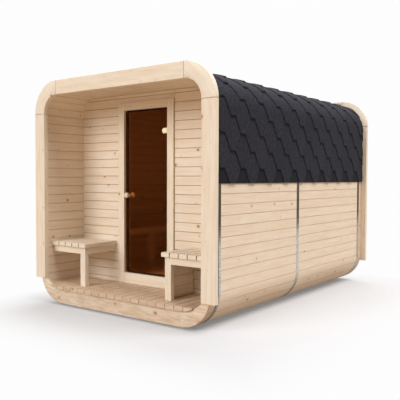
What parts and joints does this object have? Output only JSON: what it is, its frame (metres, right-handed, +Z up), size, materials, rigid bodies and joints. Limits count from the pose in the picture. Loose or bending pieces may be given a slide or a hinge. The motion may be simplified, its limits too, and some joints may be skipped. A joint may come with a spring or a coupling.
{
  "type": "garden sauna",
  "caption": "Square barrel sauna of spruce staves with rounded corners, an open porch with two benches and a tinted glass door",
  "frame": {"origin": "on the ground, under the middle of the building", "axes": "+X to the right across the front, +Y from the porch to the back wall along the building's length, +Z up"},
  "size_m": [2.27, 3.286, 2.247],
  "materials": {
    "spruce": "satin",
    "spruce_trim": "satin",
    "interior_wood": "matte",
    "tinted_glass": "gloss",
    "hinge_metal": "satin",
    "galvanised_steel": "satin",
    "bitumen_shingle": "matte"
  },
  "bodies": {
    "building": {"bearers": "spruce", "floor_staves": "spruce", "left_wall_staves": "spruce", "right_wall_staves": "spruce", "roof_staves": "spruce", "lower_left_corner": "spruce", "lower_right_corner": "spruce", "upper_left_corner": "spruce", "upper_right_corner": "spruce", "front_posts": "spruce_trim", "front_arches": "spruce_trim", "front_top_board": "spruce_trim", "rear_posts": "spruce_trim", "rear_arches": "spruce_trim", "rear_top_board": "spruce_trim", "front_sill": "spruce", "sill_corners": "spruce", "floor_joists": "spruce", "porch_floor": "spruce", "room_floor": "interior_wood", "front_wall_left": "spruce", "front_wall_right": "spruce", "front_wall_over_door": "spruce", "front_wall_under_door": "spruce", "rear_wall": "spruce", "door_jamb_left": "spruce_trim", "door_jamb_right": "spruce_trim", "door_head": "spruce_trim", "door_threshold": "spruce_trim", "door_hinge_knuckles": "hinge_metal", "left_bench_seat": "spruce_trim", "right_bench_seat": "spruce_trim", "bench_cross_rails": "spruce_trim", "bench_side_rails": "spruce_trim", "bench_legs": "spruce_trim", "room_bench_seat": "interior_wood", "room_bench_rail": "interior_wood", "room_bench_legs": "interior_wood", "room_bench_bars": "interior_wood", "room_backrest_boards": "interior_wood", "room_backrest_battens": "interior_wood", "steel_bands": "galvanised_steel", "roof_shingles": "bitumen_shingle"},
    "door": {"door_glass": "tinted_glass", "door_knobs": "spruce_trim", "door_hinge_clamps": "hinge_metal"}
  },
  "joints": [
    {"name": "door_hinge", "type": "hinge", "parent": "building", "child": "door", "pos_m": [0.1775, -1.108, 1.1355], "axis": [0, 0, 1], "range_deg": [0, 110]}
  ]
}
